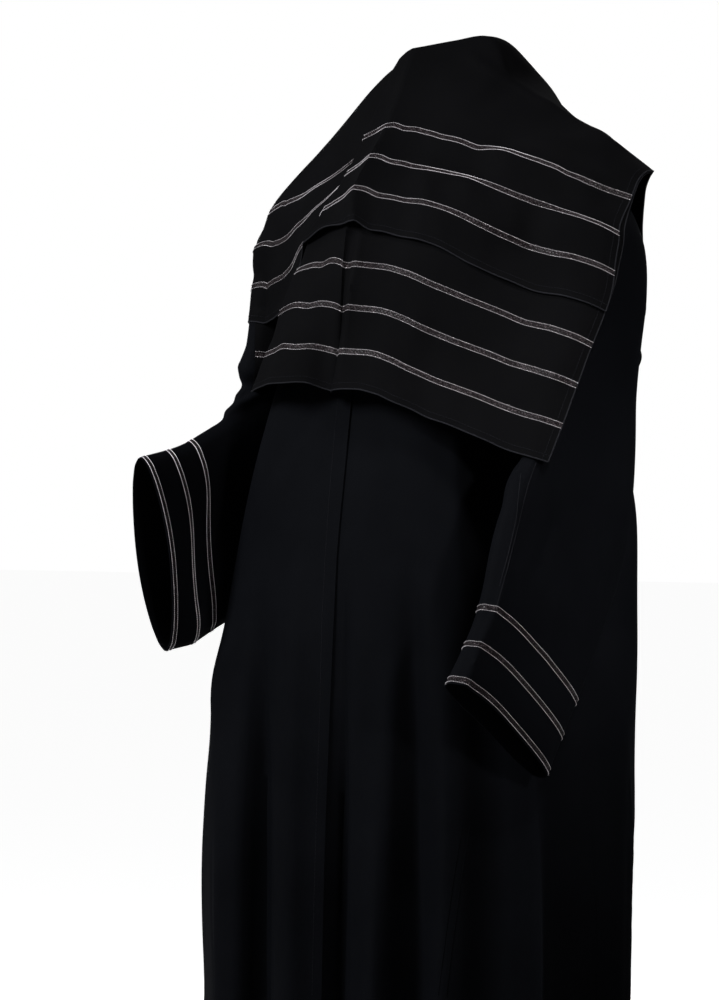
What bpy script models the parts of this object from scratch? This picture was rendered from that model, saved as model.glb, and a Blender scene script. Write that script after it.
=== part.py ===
# An open-front abaya with long wide sleeves and its matching shayla, in the hollow form of a worn garment.
# Metres, +Z up. The front faces -Y, the wearer's left is +X, and the origin is the base of the neck.
import math
from collections import namedtuple

import bpy
import numpy as np
from mathutils import Vector
from mathutils.bvhtree import BVHTree

# Cloth and gaps. At a seam each piece is drawn back by half a gap or a little more, and by more
# where the cloth slants, up to the least slant that counts.
ROBE_WALL = 0.0015
SCARF_WALL = 0.0012
TRIM_WALL = 0.0010
DRAWN_BACK = 0.00028
LEAST_SLANT = 0.28
TRIM_GAP = 0.0003
LAYER_GAP = 0.0006
UNDERLAP_GAP = 0.0006
REST_GAP = 0.0008

# Robe
HEM_Z = -1.40
NECK_HALF_WIDTH = 0.080
NECK_FRONT_DEPTH, NECK_FRONT_DROP = 0.088, 0.055
NECK_BACK_DEPTH, NECK_BACK_DROP = 0.060, 0.004
SHOULDER_TIP = (0.185, -0.004, -0.040)
UNDERARM = (0.164, -0.014, -0.235)
ARMHOLE_DEPTH = 0.076
ARMHOLE_HOLLOW = 0.010
UNDERLAP = (0.045, 0.0225)
TUCK_SHARES = (1, 1, 1, 0.35)
SECTION_POWER = 2.3
SHOULDER_ROUND = 0.11
RELAX_DROP = 0.14
SHOULDER_BEND = 1.3
SHOULDER_STEPS, ARMHOLE_STEPS = 4, 10

# The robe's sections: height, half width, and the front and back of the cloth
Level = namedtuple("Level", "z half_width front back")
LEVELS = (
    Level(0.02, 0.170, -0.070, 0.070),
    Level(-0.05, 0.178, -0.102, 0.085),
    Level(-0.10, 0.168, -0.140, 0.100),
    Level(-0.15, 0.162, -0.162, 0.110),
    Level(-0.24, 0.167, -0.184, 0.118),
    Level(-0.33, 0.200, -0.199, 0.122),
    Level(-0.45, 0.230, -0.217, 0.122),
    Level(-0.70, 0.256, -0.238, 0.094),
    Level(-0.97, 0.252, -0.248, 0.080),
    Level(-1.40, 0.257, -0.255, 0.074),
)

# The hollows under the sleeves, where the robe is pressed in: degrees round, half width, heights
# and depth
Hollow = namedtuple("Hollow", "at half_width top deepest bottom depth")
HOLLOWS = (
    Hollow(74, 38, -0.20, -0.42, -0.95, 0.056),
    Hollow(-88, 28, -0.20, -0.40, -0.74, 0.048),
)

# The robe's hanging folds: degrees round from the centre front at the hem, with the wearer's left
# positive, the drift from there up to the top of the fold, where it starts, its half width and
# its depth at the hem. A negative depth is a hollow. Each deepens fast below its top, as given by
# the growth and the power.
FOLD_GROWTH, FOLD_POWER = 1.4, 0.7
Fold = namedtuple("Fold", "at drift top half_width depth")
FOLDS = (
    Fold(-72, 6, -0.45, 8, 0.009),
    Fold(-36, 5, -0.50, 7, 0.013),
    Fold(-21.5, 3, -0.46, 6, -0.023),
    Fold(-7, -3, -0.38, 6, 0.012),
    Fold(4.5, 1, -0.60, 3.5, -0.017),
    Fold(13, 1, -0.52, 4.5, 0.014),
    Fold(21.5, 1, -0.46, 5, -0.022),
    Fold(30, 2, -0.58, 4.5, 0.014),
    Fold(45, -4, -0.34, 9, -0.022),
    Fold(62, 2, -0.50, 8, 0.013),
    Fold(80, 0, -0.36, 9, -0.012),
    Fold(102, -4, -0.42, 8, 0.005),
    Fold(121, -2, -0.50, 8, -0.016),
    Fold(139, 2, -0.38, 8, 0.013),
    Fold(156, 2, -0.46, 7, -0.015),
    Fold(172, 0, -0.34, 7, 0.012),
    Fold(-170, -2, -0.48, 7, -0.015),
    Fold(-152, 0, -0.36, 8, 0.014),
    Fold(-133, 3, -0.45, 8, -0.015),
    Fold(-112, 4, -0.40, 9, 0.010),
    Fold(-90, 2, -0.38, 9, -0.014),
)

# Rows of the robe's panels, as shares of the way from the top edge to the hem
PANEL_ROWS = (
    0, 0.004, 0.012, 0.027, 0.046, 0.070, 0.100, 0.136, 0.178, 0.225,
    0.285, 0.355, 0.430, 0.510, 0.595, 0.685, 0.785, 0.890, 1,
)

# Sections of a sleeve: the front and back of the tube, how far it stands out and in from the line
# between them, how much its outer side rises and its inner side drops, and how boxy it is (2 is an
# ellipse). The rows between them are set by share.
Station = namedtuple("Station", "share front back out inward rise drop box")
LEFT_SLEEVE = (
    Station(0.22, (0.209, -0.098, -0.165), (0.204, 0.036, -0.190),
            0.042, 0.030, 0.030, 0.080, 2.0),
    Station(0.42, (0.220, -0.145, -0.275), (0.214, 0.013, -0.310),
            0.034, 0.030, 0.015, 0.040, 2.1),
    Station(0.58, (0.224, -0.193, -0.380), (0.228, -0.010, -0.415),
            0.026, 0.022, 0.005, 0.012, 2.5),
    Station(0.72, (0.224, -0.229, -0.450), (0.227, -0.034, -0.505),
            0.020, 0.018, 0, 0, 3.0),
    Station(0.86, (0.223, -0.258, -0.526), (0.227, -0.110, -0.625),
            0.018, 0.018, 0, 0, 3.0),
    Station(1.00, (0.222, -0.304, -0.599), (0.225, -0.164, -0.703),
            0.018, 0.018, 0, 0, 3.0),
)
RIGHT_SLEEVE = (
    Station(0.22, (-0.209, -0.088, -0.165), (-0.206, 0.046, -0.195),
            0.036, 0.030, 0.030, 0.080, 2.0),
    Station(0.42, (-0.223, -0.098, -0.250), (-0.218, 0.044, -0.330),
            0.030, 0.032, 0.015, 0.035, 2.0),
    Station(0.60, (-0.231, -0.122, -0.318), (-0.226, 0.010, -0.455),
            0.028, 0.026, 0, 0, 1.9),
    Station(0.74, (-0.234, -0.170, -0.344), (-0.230, -0.082, -0.540),
            0.026, 0.026, 0, 0, 1.9),
    Station(0.86, (-0.233, -0.212, -0.358), (-0.231, -0.164, -0.571),
            0.025, 0.026, 0, 0, 1.8),
    Station(1.00, (-0.231, -0.274, -0.371), (-0.231, -0.232, -0.583),
            0.024, 0.026, 0, 0, 1.7),
)
SLEEVE_AROUND = 20
SLEEVE_ROWS = (0, 0.05, 0.11, 0.18, 0.26, 0.34, 0.42, 0.50, 0.58, 0.66, 0.74, 0.80)

# Bands of trim, measured up from the edge that they run along
TRIM_WIDTH = 0.0072
CUFF_TRIMS = (0.0015, 0.0435, 0.0855)
LENGTH_STEPS = 120
SCARF_TRIM_SPACING = 0.0485
SCARF_TRIMS, UPPER_TRIM_LIFT, LOWER_TRIM_LIFT = 3, 0.045, 0.043

# The shayla's fold lines from the near selvage to the far one. In front each runs from the crest,
# over the neck or shoulder, by the neck to the upper end's hem and the lower end's hem. Behind it
# runs by the nape and the shoulder blade to the doubled fold. A crease keeps its edge.
Line = namedtuple("Line", "crease crest neck upper_hem lower_hem nape blade drop")
LINES = (
    Line(1, (0.247, 0.011, -0.067), (0.250, -0.026, -0.087),
         (0.254, -0.099, -0.222), (0.247, -0.186, -0.379),
         (0.230, 0.020, -0.085), (0.220, 0.031, -0.140), (0.205, 0.060, -0.235)),
    Line(0, (0.200, -0.003, -0.028), (0.205, -0.048, -0.068),
         (0.206, -0.112, -0.206), (0.200, -0.191, -0.366),
         (0.195, 0.040, -0.050), (0.180, 0.085, -0.130), (0.172, 0.105, -0.260)),
    Line(0, (0.165, 0.005, -0.010), (0.160, -0.062, -0.054),
         (0.160, -0.123, -0.190), (0.150, -0.196, -0.348),
         (0.155, 0.050, -0.020), (0.145, 0.105, -0.120), (0.140, 0.122, -0.285)),
    Line(0, (0.120, 0.000, 0.016), (0.112, -0.074, -0.041),
         (0.118, -0.139, -0.170), (0.108, -0.203, -0.333),
         (0.112, 0.050, 0.007), (0.110, 0.115, -0.110), (0.105, 0.135, -0.305)),
    Line(0, (0.075, -0.008, 0.038), (0.060, -0.082, -0.027),
         (0.077, -0.151, -0.148), (0.070, -0.207, -0.318),
         (0.080, 0.054, 0.044), (0.075, 0.125, -0.090), (0.070, 0.140, -0.320)),
    Line(0, (0.040, 0.004, 0.092), (0.015, -0.082, -0.013),
         (0.030, -0.156, -0.136), (0.032, -0.208, -0.304),
         (0.045, 0.055, 0.072), (0.040, 0.130, -0.070), (0.040, 0.145, -0.330)),
    Line(1, (-0.040, -0.034, 0.084), (-0.030, -0.087, 0.000),
         (-0.022, -0.176, -0.115), (-0.012, -0.214, -0.301),
         (0.000, 0.055, 0.080), (0.000, 0.125, -0.070), (0.000, 0.143, -0.335)),
    Line(0, (-0.049, -0.034, 0.080), (-0.046, -0.090, -0.020),
         (-0.056, -0.166, -0.126), (-0.080, -0.207, -0.288),
         (-0.020, 0.053, 0.075), (-0.030, 0.122, -0.075), (-0.030, 0.145, -0.335)),
    Line(1, (-0.058, -0.034, 0.074), (-0.064, -0.108, -0.047),
         (-0.092, -0.160, -0.138), (-0.150, -0.177, -0.298),
         (-0.038, 0.048, 0.068), (-0.055, 0.115, -0.085), (-0.060, 0.138, -0.330)),
    Line(1, (-0.070, -0.030, 0.063), (-0.072, -0.092, -0.052),
         (-0.099, -0.140, -0.158), (-0.158, -0.158, -0.290),
         (-0.055, 0.045, 0.050), (-0.082, 0.112, -0.092), (-0.088, 0.136, -0.322)),
    Line(0, (-0.103, -0.022, 0.045), (-0.120, -0.104, -0.075),
         (-0.150, -0.132, -0.204), (-0.170, -0.150, -0.280),
         (-0.087, 0.045, 0.028), (-0.110, 0.105, -0.105), (-0.112, 0.130, -0.310)),
    Line(0, (-0.162, -0.012, 0.001), (-0.212, -0.080, -0.100),
         (-0.240, -0.060, -0.218), (-0.236, -0.074, -0.270),
         (-0.150, 0.045, -0.018), (-0.165, 0.090, -0.125), (-0.168, 0.110, -0.280)),
    Line(0, (-0.216, -0.003, -0.044), (-0.243, -0.040, -0.115),
         (-0.262, -0.020, -0.222), (-0.262, -0.030, -0.265),
         (-0.209, 0.035, -0.065), (-0.208, 0.065, -0.140), (-0.203, 0.085, -0.252)),
    Line(1, (-0.230, 0.036, -0.052), (-0.248, 0.010, -0.115),
         (-0.258, 0.026, -0.220), (-0.258, 0.022, -0.260),
         (-0.238, 0.030, -0.100), (-0.235, 0.042, -0.150), (-0.226, 0.052, -0.232)),
)
LINE_STEPS = 2
LOWER_END_LINES = 9
CREST_SHARES = (0.66, 0.33, 0)
BACK_ROWS = (0, 0.5, 1, 1.35, 1.7, 2, 2.33, 2.67, 3)

# Settling the shayla on the robe. It moves straight out from the body's core, which is upright up
# to its top, until its underside clears what is below it at a grid of places on each triangle.
CORE_Y, CORE_TOP = -0.03, -0.15
RAY_REACH, LONGEST_PUSH, LEAST_FACING = 0.35, 0.006, 0.2
SETTLE_ROUNDS, SETTLED, SETTLE_SPLIT = 24, 0.00003, 5

# A wall keeps its thickness over a crease up to this sharpness
CREASE_LIMIT = 0.6

CLOTH_COLOUR = (0.006, 0.007, 0.009, 1)
TRIM_COLOUR = (0.36, 0.31, 0.32, 1)


def smooth_curve(knots, values, at):
    """Values on a smooth curve through those at the knots."""
    knots, values, at = (np.asarray(v, float) for v in (knots, values, at))
    slopes = np.gradient(values, knots, axis=0)
    i = np.clip(np.searchsorted(knots, at, side="right") - 1, 0, len(knots) - 2)
    width = knots[i + 1] - knots[i]
    t = np.clip((at - knots[i]) / width, 0, 1)
    if values.ndim > 1:
        shape = np.shape(t) + (1,) * (values.ndim - 1)
        t, width = np.reshape(t, shape), np.reshape(width, shape)
    return (
        values[i] * (1 + 2 * t) * (1 - t) ** 2
        + values[i + 1] * t * t * (3 - 2 * t)
        + width * slopes[i] * t * (1 - t) ** 2
        - width * slopes[i + 1] * t * t * (1 - t)
    )


def ease(t):
    t = min(max(t, 0.0), 1.0)
    return t * t * (3 - 2 * t)


def unit(v):
    return v / np.linalg.norm(v, axis=-1, keepdims=True)


# The robe's section at a height

LEVEL_HEIGHTS = [-level.z for level in LEVELS]
LEVEL_VALUES = [level[1:] for level in LEVELS]


def level_at(z):
    return smooth_curve(LEVEL_HEIGHTS, LEVEL_VALUES, -z)


def fold_depth(degrees, z):
    total = 0.0
    for fold in FOLDS:
        if z >= fold.top:
            continue
        grown = (fold.top - z) / (fold.top - HEM_Z)
        away = degrees - (fold.at + fold.drift * (1 - grown))
        away = (away + 180) % 360 - 180
        depth = fold.depth * ease(FOLD_GROWTH * grown) ** FOLD_POWER
        total += depth * math.exp(-((away / fold.half_width) ** 2))
    for hollow in HOLLOWS:
        rise = ease((hollow.top - z) / (hollow.top - hollow.deepest))
        fall = ease((z - hollow.bottom) / (hollow.deepest - hollow.bottom))
        away = (degrees - hollow.at + 180) % 360 - 180
        total -= hollow.depth * min(rise, fall) * math.exp(-((away / hollow.half_width) ** 4))
    return total


def section_point(angle, z):
    """A point of the robe's section, at an angle round from the centre front."""
    half_width, front, back = level_at(z)
    middle, half_depth = (front + back) / 2, (back - front) / 2
    s, c = math.sin(angle), math.cos(angle)
    power = 2 / SECTION_POWER
    x = half_width * math.copysign(abs(s) ** power, s)
    y = middle - half_depth * math.copysign(abs(c) ** power, c)
    out = fold_depth(math.degrees(angle), z)
    return np.array([x + out * s, y - out * c, z])


def angle_of_x(x, z):
    """The angle in the front half at which the section is this wide."""
    share = min(abs(x) / level_at(z)[0], 1.0)
    return math.copysign(math.asin(share ** (SECTION_POWER / 2)), x)


def angle_of(point):
    """The angle of a point beside the section."""
    half_width, front, back = level_at(point[2])
    ahead = ((front + back) / 2 - point[1]) / ((back - front) / 2)
    c = math.copysign(abs(ahead) ** (SECTION_POWER / 2), ahead)
    return math.atan2(abs(point[0] / half_width) ** (SECTION_POWER / 2), c)


# The robe's panels

NECK_XS = (0.0, UNDERLAP[1], UNDERLAP[0], NECK_HALF_WIDTH)
LAST_COLUMN = len(NECK_XS) - 1 + SHOULDER_STEPS + ARMHOLE_STEPS


def top_point(column, behind):
    """The panel's top edge: neckline, shoulder seam, then armhole down to the underarm."""
    if column < len(NECK_XS):
        x = NECK_XS[column]
        c = math.sqrt(1 - (x / NECK_HALF_WIDTH) ** 2)
        if behind:
            return np.array([x, NECK_BACK_DEPTH * c, -NECK_BACK_DROP * c * c])
        return np.array([x, -NECK_FRONT_DEPTH * c, -NECK_FRONT_DROP * c * c])
    column -= len(NECK_XS) - 1
    if column <= SHOULDER_STEPS:
        t = column / SHOULDER_STEPS
        neck, tip = np.array([NECK_HALF_WIDTH, 0, 0]), np.array(SHOULDER_TIP)
        point = neck + (tip - neck) * t
        point[2] = tip[2] * t**SHOULDER_BEND
        return point
    return armhole_point((column - SHOULDER_STEPS) / ARMHOLE_STEPS, behind)


def armhole_point(t, behind):
    """A point of the armhole's edge, a share of the way from the shoulder tip to the underarm."""
    tip, under = np.array(SHOULDER_TIP), np.array(UNDERARM)
    point = tip + (under - tip) * (1 - math.cos(math.pi * t)) / 2
    point[0] -= ARMHOLE_HOLLOW * math.sin(math.pi * t)
    point[1] += ARMHOLE_DEPTH * math.sin(math.pi * t) * (1 if behind else -1)
    return point


def edge_angle(z, behind):
    """The angle of the panel's side at a height: straight out, then the armhole, then the side seam."""
    down = (SHOULDER_TIP[2] - z) / (SHOULDER_TIP[2] - UNDERARM[2])
    if down <= 0:
        return math.pi / 2
    if down < 1:
        return angle_of(armhole_point(math.acos(1 - 2 * down) / math.pi, behind))
    under = angle_of(UNDERARM)
    return under + (math.pi / 2 - under) * ease((UNDERARM[2] - z) / RELAX_DROP)


def panel_point(column, side, behind, z_share):
    """A point of a panel's grid. Side is 1 to the wearer's left and -1 to the right."""
    top = top_point(column, behind)
    z = top[2] + (HEM_Z - top[2]) * z_share
    last_neck = len(NECK_XS) - 1
    if column < last_neck:
        top_angle, angle = angle_of_x(top[0], top[2]), angle_of_x(NECK_XS[column], z)
    else:
        edges = [edge_angle(height, behind) for height in (top[2], z)]
        if behind:
            edges = [math.pi - edge for edge in edges]
        firsts = [angle_of_x(UNDERLAP[0], height) for height in (top[2], z)]
        top_angle = edges[0]
        if column < last_neck + SHOULDER_STEPS:
            top_angle = angle_of_x(top[0], top[2])
        share = (top_angle - firsts[0]) / (edges[0] - firsts[0])
        low_share = (column - last_neck + 1) / (LAST_COLUMN - last_neck + 1)
        eased = math.sin(math.pi / 2 * math.sqrt(min((top[2] - z) / RELAX_DROP, 1.0)))
        share += (low_share - share) * eased
        angle = firsts[1] + (edges[1] - firsts[1]) * share
    if behind:
        angle, top_angle = math.pi - angle, math.pi - top_angle
    start = section_point(side * top_angle, top[2])
    start[0] *= side
    point = section_point(side * angle, z)
    reach = max(1 - (top[2] - z) / SHOULDER_ROUND, 0.0)
    back_to_edge = (top - start) * (1 - math.sqrt(1 - reach * reach))
    back_to_edge[0] *= side
    return point + back_to_edge


def panel_grid(columns, behind=False):
    """Rows down, columns in the order given, each a signed column number."""
    return np.array(
        [
            [panel_point(abs(c), -1 if c < 0 else 1, behind, share) for c in columns]
            for share in PANEL_ROWS
        ]
    )


# Sleeves

def armhole_ring(side):
    """From the shoulder tip down the front to the underarm and up the back."""
    first = len(NECK_XS) - 1 + SHOULDER_STEPS
    front = [top_point(first + i, False) for i in range(ARMHOLE_STEPS)]
    back = [top_point(LAST_COLUMN - i, True) for i in range(ARMHOLE_STEPS)]
    return np.array(front + back) * (side, 1, 1)


def station_ring(station, side):
    front, back = np.array(station.front), np.array(station.back)
    along = (front - back) / 2
    across = unit(np.cross(along, (0, along[2], -along[1])))
    across *= math.copysign(1, across[0]) * side
    points = []
    out = across * station.out + (0, 0, station.rise)
    inward = -across * station.inward - (0, 0, station.drop)
    for i in range(SLEEVE_AROUND):
        turn = 2 * math.pi * i / SLEEVE_AROUND
        c, s = math.cos(turn), math.sin(turn)
        stand = (out if c > 0 else inward) * abs(c) ** (2 / station.box)
        points.append((front + back) / 2 + along * s + stand)
    return np.array(points)


def sleeve_grid(stations, side):
    """Rings from the armhole to the cuff, with rings along both edges of each band of trim."""
    shares = [0] + [station.share for station in stations]
    rings = np.array([armhole_ring(side)] + [station_ring(station, side) for station in stations])
    fine = np.linspace(0, 1, LENGTH_STEPS)
    steps = np.diff(smooth_curve(shares, rings, fine), axis=0)
    lengths = np.append(0, np.cumsum(np.linalg.norm(steps, axis=2).mean(axis=1)))
    rows = [row * lengths[-1] for row in SLEEVE_ROWS]
    for lift in reversed(CUFF_TRIMS):
        rows += [lengths[-1] - lift - TRIM_WIDTH, lengths[-1] - lift]
    rows.append(lengths[-1])
    return smooth_curve(shares, rings, np.interp(rows, lengths, fine))


# Meshes sewn from grids

class Cloth:
    """Grids that share the points of their seams, with one normal at each point."""

    def __init__(self):
        self.points, self.found, self.pieces = [], {}, {}

    def index_of(self, point):
        key = tuple(int(round(c * 1e6)) for c in point)
        if key not in self.found:
            self.found[key] = len(self.points)
            self.points.append(np.array(point, float))
        return self.found[key]

    def add(self, name, grid, closed=False, turned=False):
        index = [[self.index_of(p) for p in row] for row in grid]
        self.pieces[name] = grid_faces(index, closed, turned)
        return np.array(index)

    def finish(self):
        self.points = np.array(self.points)
        every = [face for faces in self.pieces.values() for face in faces]
        self.normals, self.slant = normals_of(self.points, every)
        self.even = self.normals / np.maximum(self.slant, CREASE_LIMIT)[:, None]
        users = {}
        for name, faces in self.pieces.items():
            for v in {v for face in faces for v in face}:
                users.setdefault(v, set()).add(name)
        self.seams = {v for v, names in users.items() if len(names) > 1}

    def drawn_back(self, name):
        """Each point's move into its own piece, which leaves the gap at a seam."""
        move = np.zeros_like(self.points)
        for face in self.pieces[name]:
            centre = self.points[face].mean(axis=0)
            for v in face:
                if v in self.seams:
                    move[v] += unit(centre - self.points[v])
        for v in self.seams:
            if move[v].any():
                move[v] -= self.normals[v] * (move[v] @ self.normals[v])
                move[v] = unit(move[v]) * DRAWN_BACK / max(self.slant[v], LEAST_SLANT) ** 2
        return move


def normals_of(points, faces):
    """The normal at each point, and how far the faces round it slant: 1 where they are level."""
    corners = points[np.array(faces)]
    face_normals = np.cross(corners[:, 1] - corners[:, 0], corners[:, 2] - corners[:, 0])
    total, slant, count = np.zeros_like(points), np.zeros(len(points)), np.zeros(len(points))
    for k in range(3):
        np.add.at(total, [face[k] for face in faces], face_normals)
    lengths = np.linalg.norm(total, axis=1, keepdims=True)
    normals = total / np.where(lengths > 0, lengths, 1)
    for k in range(3):
        at = [face[k] for face in faces]
        np.add.at(slant, at, (unit(face_normals) * normals[at]).sum(axis=1))
        np.add.at(count, at, 1)
    return normals, slant / np.maximum(count, 1)


def grid_faces(index, closed=False, turned=False):
    faces = []
    columns = len(index[0])
    for r in range(len(index) - 1):
        for c in range(columns if closed else columns - 1):
            n = (c + 1) % columns
            corners = [index[r][c], index[r + 1][c], index[r + 1][n], index[r][n]]
            for face in (corners[:3], [corners[0]] + corners[2:]):
                faces.append(face[::-1] if turned else face)
    return faces


def add_solid(name, outer, inner, faces, material):
    """A wall between two skins that share their faces, closed round every free edge."""
    used = sorted({v for face in faces for v in face})
    place = {v: i for i, v in enumerate(used)}
    count = len(used)
    points = [tuple(outer[v]) for v in used] + [tuple(inner[v]) for v in used]
    solid = [[place[v] for v in face] for face in faces]
    solid += [[place[v] + count for v in reversed(face)] for face in faces]
    edges = {(face[i], face[(i + 1) % 3]) for face in faces for i in range(3)}
    for a, b in sorted(edges):
        if (b, a) not in edges:
            solid.append([place[b], place[a], place[a] + count, place[b] + count])
    mesh = bpy.data.meshes.new(name)
    mesh.from_pydata(points, [], solid)
    mesh.shade_smooth()
    mesh.set_sharp_from_angle(angle=math.radians(50))
    mesh.materials.append(material)
    obj = bpy.data.objects.new(name, mesh)
    bpy.context.scene.collection.objects.link(obj)
    return obj


def cloth_solid(cloth, piece, name, lift, wall, material):
    """A piece of sewn cloth as a wall, with its outer side lifted off the cloth's points."""
    move = cloth.drawn_back(piece)
    outer = cloth.points + cloth.even * lift + move
    inner = cloth.points + cloth.even * (lift - wall) + move
    return add_solid(name, outer, inner, cloth.pieces[piece], material)


def band_solid(cloth, index, row, closed, turned, name, lift, material):
    """A band of trim on the cloth between two neighbouring rows of its grid."""
    faces = grid_faces(index[row : row + 2], closed, turned)
    outer = cloth.points + cloth.even * (lift + TRIM_GAP + TRIM_WALL)
    inner = cloth.points + cloth.even * (lift + TRIM_GAP)
    return add_solid(name, outer, inner, faces, material)


def surface_of(cloth):
    faces = [face for piece in cloth.pieces.values() for face in piece]
    return BVHTree.FromPolygons([tuple(p) for p in cloth.points], faces)


def outward(point):
    """The way out of the body from a point on or over the robe."""
    core = np.array([0, CORE_Y, min(point[2], CORE_TOP)])
    return unit(point - core)


def push_out(point, tree, clear):
    """How far a point has to move out to stand clear of the outermost cloth under it."""
    way = outward(point)
    place, normal, _, _ = tree.ray_cast(Vector(point + way * RAY_REACH), Vector(-way), 2 * RAY_REACH)
    if place is None:
        return np.zeros(3)
    need = (np.array(place) - point) @ way + clear / max(np.dot(normal, way), LEAST_FACING)
    return way * min(max(need, 0.0), LONGEST_PUSH)


def settle(grid, tree):
    """Moves a grid out until the underside of its cloth is clear of the cloth beneath."""
    grid = np.array(grid)
    points = grid.reshape(-1, 3)
    faces = grid_faces(np.arange(len(points)).reshape(grid.shape[:2]).tolist())
    places = [
        np.array((i, j, SETTLE_SPLIT - i - j)) / SETTLE_SPLIT
        for i in range(SETTLE_SPLIT + 1)
        for j in range(SETTLE_SPLIT + 1 - i)
    ]
    for _ in range(SETTLE_ROUNDS):
        normals, slant = normals_of(points, faces)
        under = points - normals * (SCARF_WALL / np.maximum(slant, CREASE_LIMIT))[:, None]
        move = np.zeros_like(points)
        for face in faces:
            for weights in places:
                push = push_out(weights @ under[face], tree, REST_GAP)
                for v, share in zip(face, weights / (weights @ weights)):
                    if share * np.linalg.norm(push) > np.linalg.norm(move[v]):
                        move[v] = share * push
        if np.abs(move).max() < SETTLED:
            break
        points += move
    return grid


# The shayla's grid

def across_lines(column):
    """A named column of the table, read across the cloth, with an edge kept at each crease."""
    points = np.array([getattr(line, column) for line in LINES])
    creases = [i for i, line in enumerate(LINES) if line.crease]
    result = [points[0]]
    for first, last in zip(creases, creases[1:]):
        knots = np.arange(first, last + 1)
        steps = (last - first) * LINE_STEPS
        at = first + (last - first) * np.arange(1, steps + 1) / steps
        result += list(smooth_curve(knots, points[first : last + 1], at))
    return np.array(result)


def lengths_down(curve):
    """The length from the first row down to each row, column by column."""
    steps = np.linalg.norm(np.diff(curve, axis=0), axis=2)
    return np.concatenate([np.zeros((1, curve.shape[1])), np.cumsum(steps, axis=0)])


def trim_lifts(lift):
    """How far the edges of an end's three bands lie above its hem, from the bottom up."""
    middles = [lift + i * SCARF_TRIM_SPACING for i in range(SCARF_TRIMS)]
    return [middle + side * TRIM_WIDTH / 2 for middle in middles for side in (-1, 1)]


def front_grid():
    """Rows up from the lower end's hem to the crest, parallel to the hems where the bands lie."""
    columns = ("crest", "neck", "upper_hem", "lower_hem")
    places = np.array([across_lines(c) for c in columns])
    fine = np.linspace(0, 3, 3 * LENGTH_STEPS + 1)
    curve = smooth_curve(range(4), places, fine)
    lengths = lengths_down(curve)
    hem, upper_hem = lengths[-1], lengths[2 * LENGTH_STEPS]
    rows = [hem] + [hem - lift for lift in trim_lifts(LOWER_TRIM_LIFT)] + [upper_hem]
    rows += [upper_hem - lift for lift in trim_lifts(UPPER_TRIM_LIFT)]
    rows += [rows[-1] * share for share in CREST_SHARES]
    grid = []
    for row in rows:
        at = [np.interp(row[c], lengths[:, c], fine) for c in range(len(row))]
        grid.append([smooth_curve(range(4), places[:, c], at[c]) for c in range(len(row))])
    return np.array(grid)


def back_grid():
    columns = ("crest", "nape", "blade", "drop")
    return smooth_curve(range(4), np.array([across_lines(c) for c in columns]), BACK_ROWS)


# Materials

def plain_material(name, colour, roughness, metallic=0.0):
    material = bpy.data.materials.new(name)
    material.use_nodes = True
    shader = material.node_tree.nodes["Principled BSDF"]
    shader.inputs["Base Color"].default_value = colour
    shader.inputs["Roughness"].default_value = roughness
    shader.inputs["Metallic"].default_value = metallic
    material.diffuse_color = colour
    return material


# Building

def build_robe(robe_material, trim_material):
    """The fronts, back and sleeves as one sewn cloth, then as walls with the bands of trim on the cuffs."""
    body = Cloth()
    right_columns = list(range(-LAST_COLUMN, 0)) + [0]
    left_columns = [-2, -1] + list(range(0, LAST_COLUMN + 1))
    back_columns = list(range(LAST_COLUMN, 0, -1)) + [0] + list(range(-1, -LAST_COLUMN - 1, -1))
    left_front = panel_grid(left_columns)
    tucked = Cloth()
    tucked.add("front_left", left_front)
    tucked.finish()
    depth = ROBE_WALL + UNDERLAP_GAP
    for c, share in enumerate(TUCK_SHARES):
        for r in range(len(PANEL_ROWS)):
            normal = tucked.even[tucked.index_of(left_front[r][c])]
            left_front[r][c] -= normal * depth * share
    body.add("front_right", panel_grid(right_columns))
    body.add("front_left", left_front)
    body.add("back", panel_grid(back_columns, behind=True))
    cuffs = {}
    for name, stations, side in (("left", LEFT_SLEEVE, 1), ("right", RIGHT_SLEEVE, -1)):
        grid = sleeve_grid(stations, side)
        cuffs[name] = body.add(f"sleeve_{name}", grid, closed=True, turned=side > 0)
    body.finish()
    for piece in body.pieces:
        cloth_solid(body, piece, piece, 0, ROBE_WALL, robe_material)
    for name, side in (("left", 1), ("right", -1)):
        for i in range(len(CUFF_TRIMS)):
            row = len(SLEEVE_ROWS) + 2 * (len(CUFF_TRIMS) - 1 - i)
            trim = f"cuff_trim_{name}_{i + 1}"
            band_solid(body, cuffs[name], row, True, side > 0, trim, 0, trim_material)
    return body


def build_shayla(robe, scarf_material, trim_material):
    """The doubled scarf: its lower layer settled on the robe, the rest made from that layer's points."""
    tree = surface_of(robe)
    front, back = front_grid(), back_grid()
    whole = settle(np.concatenate([front, back[1:]]), tree)
    crest = len(front) - 1
    scarf = Cloth()
    front_index = scarf.add("front", whole[: crest + 1])
    back_index = scarf.add("back", whole[crest:])
    scarf.finish()
    upper_lift = SCARF_WALL + LAYER_GAP
    upper_hem = 2 * SCARF_TRIMS + 1
    lower_index = front_index[:, : LOWER_END_LINES * LINE_STEPS + 1]
    scarf.pieces["front"] = grid_faces(lower_index)
    cloth_solid(scarf, "front", "shayla_lower_end", 0, SCARF_WALL, scarf_material)
    scarf.pieces["front"] = grid_faces(front_index[upper_hem:])
    cloth_solid(scarf, "front", "shayla_upper_end", upper_lift, SCARF_WALL, scarf_material)
    ends = (("upper", front_index, upper_hem, upper_lift), ("lower", lower_index, 0, 0))
    for end, index, hem, lift in ends:
        for i in range(SCARF_TRIMS):
            trim = f"shayla_trim_{end}_{SCARF_TRIMS - i}"
            band_solid(scarf, index, hem + 1 + 2 * i, False, False, trim, lift, trim_material)
    add_drop(scarf, back_index, upper_lift, scarf_material)


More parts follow.
